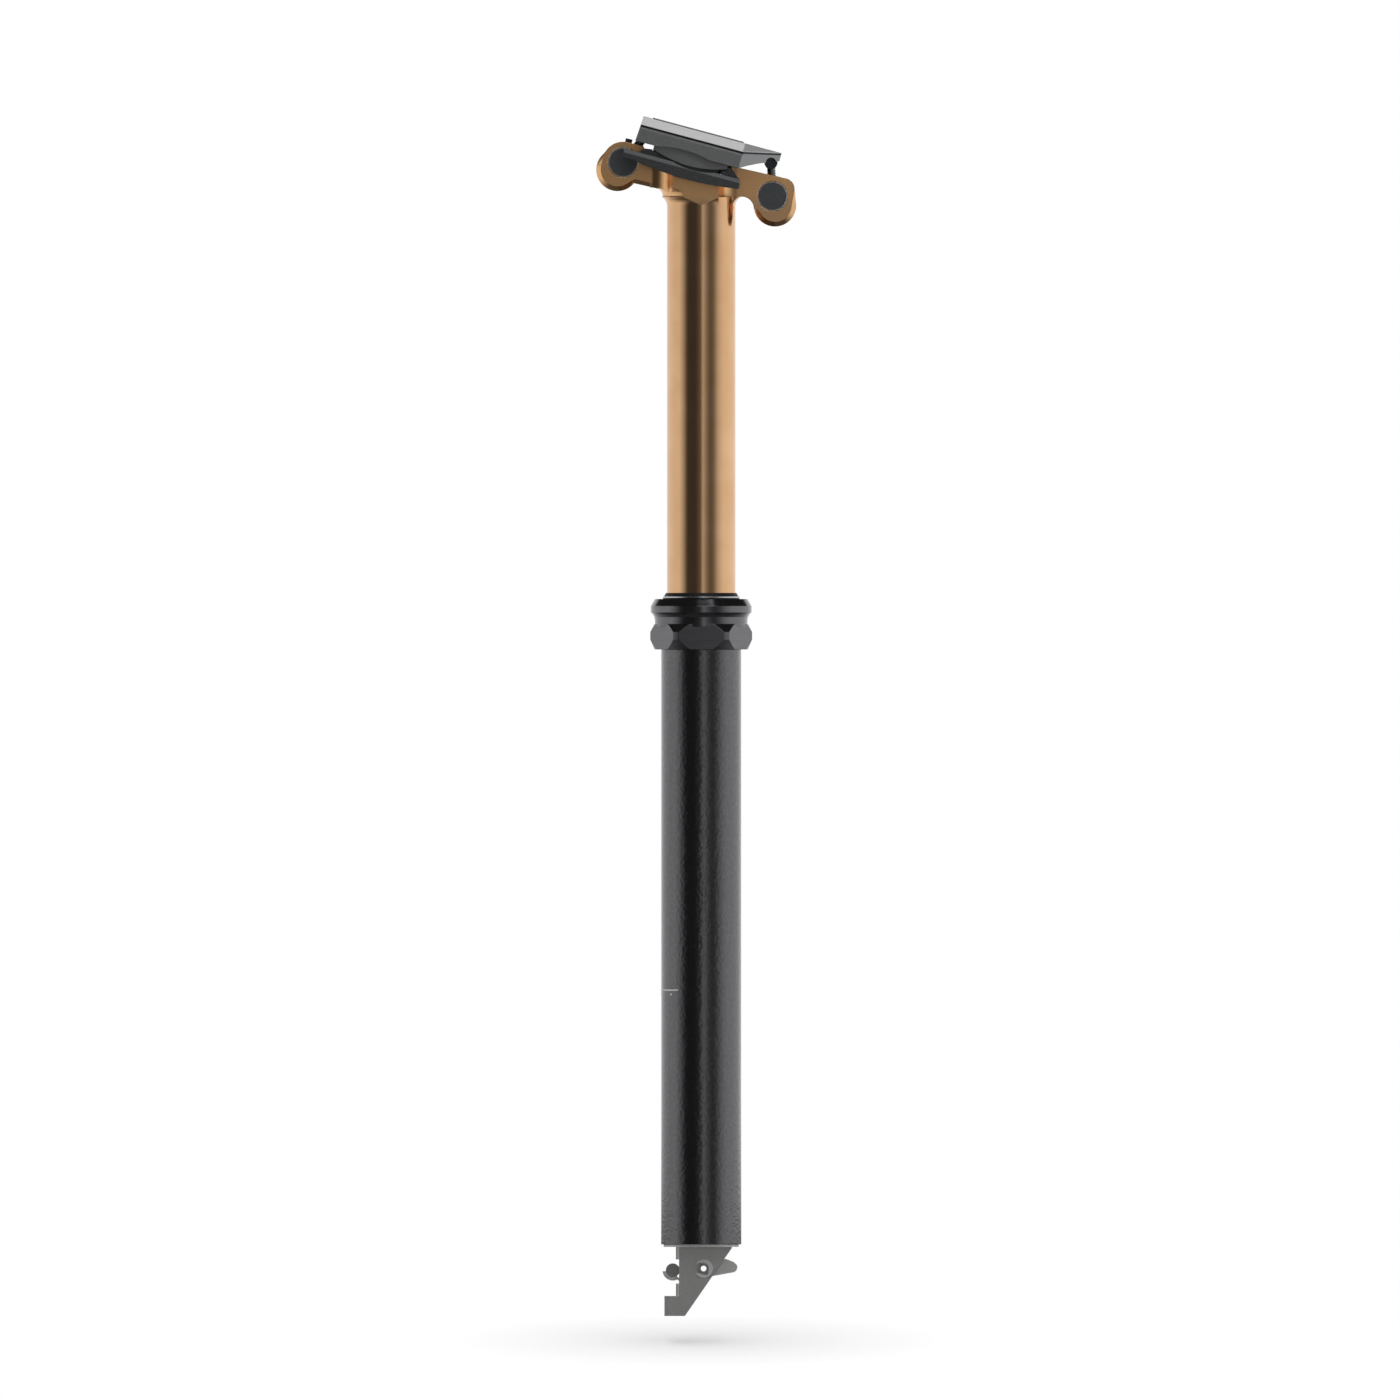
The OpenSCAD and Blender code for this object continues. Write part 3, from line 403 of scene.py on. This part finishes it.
def makeScrewTree():
    sizes = {size: "Float" for size in clampScrew}
    sizes.update({"Top": "Float", "Lean": "Float", "Place": "Vector", "Finish": "Material"})
    tree, sockets, size = startTree("socketScrew", sizes)
    length = addNode(tree, "ShaderNodeMath", {0: size["Top"], 1: size["Thread From"]}, operation="SUBTRACT")
    turns = addNode(tree, "ShaderNodeMath", {0: length.outputs["Value"], 1: size["Pitch"]}, operation="DIVIDE")
    helix = addNode(tree, "GeometryNodeCurveSpiral",
                    {"Rotations": turns.outputs["Value"], "Start Radius": size["Core Radius"],
                     "End Radius": size["Core Radius"], "Height": length.outputs["Value"]}, Resolution=24)
    upright = addNode(tree, "GeometryNodeSetCurveNormal", {"Curve": helix.outputs["Curve"]}, mode="Z_UP")
    profile = addNode(tree, "GeometryNodeCurvePrimitiveCircle", {"Radius": size["Ridge"]}, Resolution=4)
    ridge = addNode(tree, "GeometryNodeCurveToMesh", {"Curve": upright.outputs["Curve"],
                                                      "Profile Curve": profile.outputs["Curve"]})
    ridge.inputs["Fill Caps"].default_value = True

    def lifted(geometry, start, height):
        # a solid that is centred on the origin is put with its low end at start
        middle = addNode(tree, "ShaderNodeMath", {0: height, 2: start}, operation="MULTIPLY_ADD")
        middle.inputs[1].default_value = 0.5
        up = addNode(tree, "ShaderNodeCombineXYZ", {"Z": middle.outputs["Value"]})
        moved = addNode(tree, "GeometryNodeTransform", {"Geometry": geometry, "Translation": up.outputs["Vector"]})
        return moved.outputs["Geometry"]

    threadUp = addNode(tree, "ShaderNodeCombineXYZ", {"Z": size["Thread From"]})
    thread = addNode(tree, "GeometryNodeTransform", {"Geometry": ridge.outputs["Mesh"],
                                                     "Translation": threadUp.outputs["Vector"]})
    core = addNode(tree, "GeometryNodeMeshCylinder", {"Radius": size["Core Radius"],
                                                      "Depth": length.outputs["Value"]}, Vertices=32)
    shank = lifted(core.outputs["Mesh"], size["Thread From"], length.outputs["Value"])
    knob = addNode(tree, "GeometryNodeMeshCylinder",
                   {"Radius": size["Head Radius"], "Depth": size["Head Height"]}, Vertices=40)
    deep = addNode(tree, "ShaderNodeMath", {0: size["Socket Depth"]}, operation="MULTIPLY")
    deep.inputs[1].default_value = 2.0
    key = addNode(tree, "GeometryNodeMeshCylinder",
                  {"Radius": size["Socket Radius"], "Depth": deep.outputs["Value"]}, Vertices=6)
    keyUp = addNode(tree, "ShaderNodeCombineXYZ", {"Z": size["Head From"]})
    keyPlaced = addNode(tree, "GeometryNodeTransform", {"Geometry": key.outputs["Mesh"],
                                                        "Translation": keyUp.outputs["Vector"]})
    head = addNode(tree, "GeometryNodeMeshBoolean", operation="DIFFERENCE")
    blank = lifted(knob.outputs["Mesh"], size["Head From"], size["Head Height"])
    tree.links.new(blank, head.inputs["Mesh 1"])
    tree.links.new(keyPlaced.outputs["Geometry"], head.inputs["Mesh 2"])
    whole = addNode(tree, "GeometryNodeJoinGeometry")
    for part in (head.outputs["Mesh"], shank, thread.outputs["Geometry"]):
        tree.links.new(part, whole.inputs["Geometry"])
    turn = addNode(tree, "ShaderNodeCombineXYZ", {"Y": size["Lean"]})
    stood = addNode(tree, "GeometryNodeTransform",
                    {"Geometry": whole.outputs["Geometry"], "Rotation": turn.outputs["Vector"],
                     "Translation": size["Place"]})
    endTree(tree, [stood.outputs["Geometry"]], size["Finish"])
    return tree, sockets


screwTree, screwSockets = makeScrewTree()
for name, where in screwPlaces.items():
    screw = makePiece(name, screwTree, screwSockets, dict(
        clampScrew, Top=where["top"] * mm, Lean=math.radians(where["lean"]),
        Place=[c * mm for c in where["place"]], Finish=finishes["rolled bright steel"]))
    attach(screw, where["body"])
    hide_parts(where["node"])
print("clamp screws made:", len(screwPlaces))

# Depth mark: a printed line part of the way round the lower post, with small arrow heads under it
depthMark = {"Radius": 15.8 * mm, "Height": -134.2 * mm, "Start": math.radians(180 - 54.7),
             "Sweep": math.radians(109.4), "Line Width": 0.6 * mm, "Ink": 0.04 * mm, "Arrows": 3,
             "Arrow Size": 0.75 * mm, "Arrow Drop": 1.7 * mm, "Arrow Start": math.radians(180 - 41.1),
             "Arrow Step": math.radians(41.1)}


def makeMarkTree():
    sizes = {size: "Float" for size in depthMark}
    sizes.update({"Arrows": "Int", "Finish": "Material"})
    tree, sockets, size = startTree("depthMark", sizes)
    arc = addNode(tree, "GeometryNodeCurveArc", {"Radius": size["Radius"], "Start Angle": size["Start"],
                                                 "Sweep Angle": size["Sweep"]}, Resolution=96)
    flat = addNode(tree, "GeometryNodeSetCurveNormal", {"Curve": arc.outputs["Curve"]}, mode="Z_UP")
    band = addNode(tree, "GeometryNodeCurvePrimitiveQuadrilateral",
                   {"Width": size["Ink"], "Height": size["Line Width"]})
    line = addNode(tree, "GeometryNodeCurveToMesh", {"Curve": flat.outputs["Curve"],
                                                     "Profile Curve": band.outputs["Curve"]})
    line.inputs["Fill Caps"].default_value = True
    index = addNode(tree, "GeometryNodeInputIndex").outputs["Index"]
    angle = addNode(tree, "ShaderNodeMath", {0: index, 1: size["Arrow Step"], 2: size["Arrow Start"]},
                    operation="MULTIPLY_ADD").outputs["Value"]
    parts = []
    for wave in ("COSINE", "SINE"):
        turned = addNode(tree, "ShaderNodeMath", {0: angle}, operation=wave).outputs["Value"]
        parts.append(addNode(tree, "ShaderNodeMath", {0: turned, 1: size["Radius"]}, operation="MULTIPLY"))
    down = addNode(tree, "ShaderNodeMath", {0: size["Arrow Drop"]}, operation="MULTIPLY")
    down.inputs[1].default_value = -1.0
    spot = addNode(tree, "ShaderNodeCombineXYZ",
                   {"X": parts[0].outputs["Value"], "Y": parts[1].outputs["Value"], "Z": down.outputs["Value"]})
    spots = addNode(tree, "GeometryNodePoints", {"Count": size["Arrows"], "Position": spot.outputs["Vector"]})
    chip = addNode(tree, "GeometryNodeMeshCylinder",
                   {"Radius": size["Arrow Size"], "Depth": size["Ink"]}, Vertices=3)
    arrow = addNode(tree, "GeometryNodeTransform", {"Geometry": chip.outputs["Mesh"]},
                    Rotation=(0, -math.pi / 2, 0))
    spin = addNode(tree, "ShaderNodeCombineXYZ", {"Z": angle})
    arrows = addNode(tree, "GeometryNodeInstanceOnPoints", {"Points": spots.outputs["Points"],
                                                            "Instance": arrow.outputs["Geometry"],
                                                            "Rotation": spin.outputs["Vector"]})
    both = addNode(tree, "GeometryNodeJoinGeometry")
    for part in (line.outputs["Mesh"], arrows.outputs["Instances"]):
        tree.links.new(part, both.inputs["Geometry"])
    up = addNode(tree, "ShaderNodeCombineXYZ", {"Z": size["Height"]})
    placed = addNode(tree, "GeometryNodeTransform", {"Geometry": both.outputs["Geometry"],
                                                     "Translation": up.outputs["Vector"]})
    endTree(tree, [placed.outputs["Geometry"]], size["Finish"])
    return tree, sockets


markTree, markSockets = makeMarkTree()
printed = makePiece("depthMark", markTree, markSockets,
                    dict(depthMark, Finish=finishes["screen printed grey ink"]))
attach(printed, "lower")
print("depth mark made:", len(printed.data.polygons), "faces")

# Gap strips, in mm: soft black rubber strips between the clamp's spine and the cradle's end walls, put there as
# painted shade that fills the gap; the profile runs along and across the clamp's own slope
gapShadeStrip = {"profile": [(12.6, -2.2), (15.4, -1.0), (16.9, 1.0), (17.0, 2.3), (15.0, 2.3), (12.6, -0.4)],
            "inside": 15.0, "outside": 17.0, "centre": (-4.8, 192.7), "tilt": 15, "round": 0.15}


def makeGapShadeStrips():
    lean = math.radians(gapShadeStrip["tilt"])
    points, faces, n = [], [], len(gapShadeStrip["profile"])
    for side in (-1, 1):
        first = len(points)
        for y in (gapShadeStrip["inside"] * side, gapShadeStrip["outside"] * side):
            for s, up in gapShadeStrip["profile"]:
                points.append(((gapShadeStrip["centre"][0] + s * math.cos(lean) + up * math.sin(lean)) * mm, y * mm,
                               (gapShadeStrip["centre"][1] - s * math.sin(lean) + up * math.cos(lean)) * mm))
        faces += [[first + i for i in range(n)], [first + n + i for i in range(n)]]
        faces += [[first + i, first + (i + 1) % n, first + n + (i + 1) % n, first + n + i] for i in range(n)]
    mesh = bpy.data.meshes.new("gapShadeStrips")
    mesh.from_pydata(points, [], faces)
    shape = bmesh.new()
    shape.from_mesh(mesh)
    bmesh.ops.bevel(shape, geom=shape.edges, offset=gapShadeStrip["round"] * mm, segments=2, affect="EDGES")
    bmesh.ops.recalc_face_normals(shape, faces=shape.faces)
    shape.to_mesh(mesh)
    shape.free()
    mesh.materials.append(finishes["moulded nitrile rubber"])
    piece = bpy.data.objects.new("gapShadeStrips", mesh)
    bpy.context.collection.objects.link(piece)
    return piece


strips = makeGapShadeStrips()
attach(strips, "saddle_clamp")
print("gap strips made:", len(strips.data.polygons), "faces")

# Studio: a ring of soft panels and dark cards that the round metal mirrors, dark above and below, and a pale
# floor. Levels go by the angle round the post in degrees, 0 to the front, and rows by height, with how far each
# goes over to the upper levels. A disc's rings have a radius, a level and a share of the panels' level.
studio = {
    "radius": 1.4, "panelSteps": 360, "discSteps": 180,
    "rows": [(-1.0, 0.0), (0.46, 0.0), (0.62, 1.0), (2.2, 1.0)],
    "levels": [(-180, 0.95), (-117, 0.95), (-98, 0.88), (-80, 0.9), (-66, 0.58), (-56, 0.28), (-49, 0.1),
               (-42, 0.055), (-18, 0.055), (-9, 0.1), (-3, 0.15), (0, 0.19), (3, 0.52), (8, 0.6), (12, 0.42),
               (19, 0.27), (28, 0.14), (38, 0.15), (47, 0.3), (54, 0.5), (62, 0.68), (72, 0.85),
               (80, 0.95), (97, 1.0), (115, 1.06), (141, 1.04), (180, 0.95)],
    "upper": [(-180, 0.05), (-14, 0.05), (-6, 1.2), (34, 1.2), (44, 0.05), (180, 0.05)],
    "lid": [(0.0, 0.05, 0.0), (1.4, 0.05, 0.0)],
    "card": [(0.0, 0.08, 0.0), (0.3, 0.1, 0.0), (0.6, 0.1, 0.6), (0.9, 0.1, 1.0), (1.38, 0.1, 1.0)],
    "cardLift": 0.001, "floorZ": -0.2728, "floorTilt": math.radians(6.0), "floorRadius": 1.1, "floorSteps": 96,
    "floorColour": "#f2f2f2", "shadowReach": 0.09, "shadow": [(0.45, 0.25), (0.98, 1.0)],
    "surround": {"To Min": 0.7, "To Max": 1.0},
    "softbox": {"place": (0, -0.2, 1.3), "aim": (0, 0, 0.1), "size": (1.4, 1.0), "power": 9},
}
white = (1, 1, 1, 1)


def between(points, at):
    for (a, low), (b, high) in zip(points, points[1:]):
        if a <= at <= b:
            return low + (high - low) * (at - a) / (b - a)
    return points[-1][1]


def makeGlow(name, points, faces, levels):
    # a light-giving sheet that shows in reflections only, with its strength at each point
    mesh = bpy.data.meshes.new(name)
    mesh.from_pydata(points, [], faces)
    mesh.attributes.new("level", "FLOAT", "POINT").data.foreach_set("value", levels)
    made = bpy.data.materials.new(name)
    made.use_nodes = True
    tree = made.node_tree
    tree.nodes.clear()
    level = addNode(tree, "ShaderNodeAttribute", attribute_name="level").outputs["Fac"]
    glow = addNode(tree, "ShaderNodeEmission", {"Strength": level}, Color=white).outputs["Emission"]
    addNode(tree, "ShaderNodeOutputMaterial", {"Surface": glow})
    mesh.materials.append(made)
    sheet = bpy.data.objects.new(name, mesh)
    bpy.context.collection.objects.link(sheet)
    sheet.visible_camera = False
    sheet.visible_shadow = False
    return sheet


def makePanels():
    steps, rows, points, faces, levels = studio["panelSteps"], studio["rows"], [], [], []
    for i in range(steps):
        degrees = -180 + 360 * i / steps
        a = math.radians(degrees)
        around, above = (between(studio[part], degrees) for part in ("levels", "upper"))
        for z, lift in rows:
            points.append((studio["radius"] * math.sin(a), -studio["radius"] * math.cos(a), z))
            levels.append(around + (above - around) * lift)
    n = len(rows)
    for i in range(steps):
        j = (i + 1) % steps
        faces += [(n * i + k, n * i + k + 1, n * j + k + 1, n * j + k) for k in range(n - 1)]
    return makeGlow("studioPanels", points, faces, levels)


def makeDisc(name, rings, height, tilt):
    # each ring has its radius, its own level, and how far it goes over to the panels' level in that direction
    steps, points, faces, levels = studio["discSteps"], [(0, 0, height)], [], [rings[0][1]]
    for radius, level, share in rings[1:]:
        for i in range(steps):
            degrees = -180 + 360 * i / steps
            x, y = radius * math.sin(math.radians(degrees)), -radius * math.cos(math.radians(degrees))
            points.append((x, y, height + y * math.tan(tilt)))
            levels.append(level + (between(studio["levels"], degrees) - level) * share)
    for i in range(steps):
        j = (i + 1) % steps
        faces.append((0, 1 + i, 1 + j))
        for k in range(len(rings) - 2):
            low, high = 1 + k * steps, 1 + (k + 1) * steps
            faces.append((low + i, high + i, high + j, low + j))
    disc = makeGlow(name, points, faces, levels)
    disc.visible_diffuse = False
    return disc


def seenRay(tree):
    # 1 where the eye sees a thing, straight on or in metal or glass, and 0 where it only lights others
    ray = addNode(tree, "ShaderNodeLightPath").outputs
    total = ray["Is Camera Ray"]
    for other in ("Is Glossy Ray", "Is Transmission Ray"):
        total = addNode(tree, "ShaderNodeMath", {0: total, 1: ray[other]}, operation="MAXIMUM").outputs["Value"]
    return total


def makeFloor():
    # white where it lies open, and darker the more of the post stands over it: the post's own soft shadow
    steps, tilt = studio["floorSteps"], studio["floorTilt"]
    points = [(0, 0, studio["floorZ"])]
    for i in range(steps):
        a = 2 * math.pi * i / steps
        x, y = studio["floorRadius"] * math.cos(a), studio["floorRadius"] * math.sin(a)
        points.append((x, y, studio["floorZ"] + y * math.tan(tilt)))
    faces = [(0, 1 + i, 1 + (i + 1) % steps) for i in range(steps)]
    mesh = bpy.data.meshes.new("floor")
    mesh.from_pydata(points, [], faces)
    made = bpy.data.materials.new("pale studio floor")
    made.use_nodes = True
    tree = made.node_tree
    tree.nodes.clear()
    shade = addNode(tree, "ShaderNodeAmbientOcclusion", samples=3,
                    Distance=studio["shadowReach"]).outputs["AO"]
    tone = addNode(tree, "ShaderNodeValToRGB", {"Fac": shade}, stops=studio["shadow"]).outputs["Color"]
    glow = addNode(tree, "ShaderNodeEmission", {"Color": tone}, Strength=1.0).outputs["Emission"]
    dull = addNode(tree, "ShaderNodeBsdfDiffuse", Color=linear(studio["floorColour"])).outputs["BSDF"]
    mixed = addNode(tree, "ShaderNodeMixShader", {"Fac": seenRay(tree), 1: dull, 2: glow})
    addNode(tree, "ShaderNodeOutputMaterial", {"Surface": mixed.outputs["Shader"]})
    mesh.materials.append(made)
    floor = bpy.data.objects.new("floor", mesh)
    bpy.context.collection.objects.link(floor)
    return floor


def lightWorld():
    world = bpy.data.worlds.new("studio surround")
    bpy.context.scene.world = world
    world.use_nodes = True
    tree = world.node_tree
    tree.nodes.clear()
    level = addNode(tree, "ShaderNodeMapRange", {"Value": seenRay(tree)}, **studio["surround"])
    back = addNode(tree, "ShaderNodeBackground", {"Strength": level.outputs["Result"]}, Color=white)
    addNode(tree, "ShaderNodeOutputWorld", {"Surface": back.outputs["Background"]})


def addLamp(name, place, aim, size, power):
    lamp = bpy.data.lights.new(name, "AREA")
    lamp.shape, lamp.energy = "RECTANGLE", power
    lamp.size, lamp.size_y = size
    made = bpy.data.objects.new(name, lamp)
    bpy.context.collection.objects.link(made)
    made.location = place
    made.rotation_mode = "QUATERNION"
    made.rotation_quaternion = (mathutils.Vector(aim) - mathutils.Vector(place)).to_track_quat("-Z", "Y")
    made.visible_glossy = False  # the panels give the reflections
    return made


makePanels()
makeFloor()
makeDisc("floorCard", studio["card"], studio["floorZ"] + studio["cardLift"], studio["floorTilt"])
makeDisc("overheadCard", studio["lid"], studio["rows"][-1][0], 0)
lightWorld()
addLamp("overhead softbox", **studio["softbox"])
bpy.context.scene.view_settings.view_transform = "Standard"
print("studio set")

# Camera: square on to the post's right side, without perspective
cameraSet = {"centreX": -0.47 * mm, "centreZ": -19.9 * mm, "away": 2.0, "frameWidth": 551.6 * mm,
             "farthest": 20}
lens = bpy.data.cameras.new("photoCamera")
lens.type, lens.ortho_scale, lens.clip_end = "ORTHO", cameraSet["frameWidth"], cameraSet["farthest"]
photoCamera = bpy.data.objects.new("photoCamera", lens)
photoCamera.location = (cameraSet["centreX"], -cameraSet["away"], cameraSet["centreZ"])
photoCamera.rotation_euler = (math.pi / 2, 0, 0)
bpy.context.collection.objects.link(photoCamera)
bpy.context.scene.camera = photoCamera

print("scene ready")
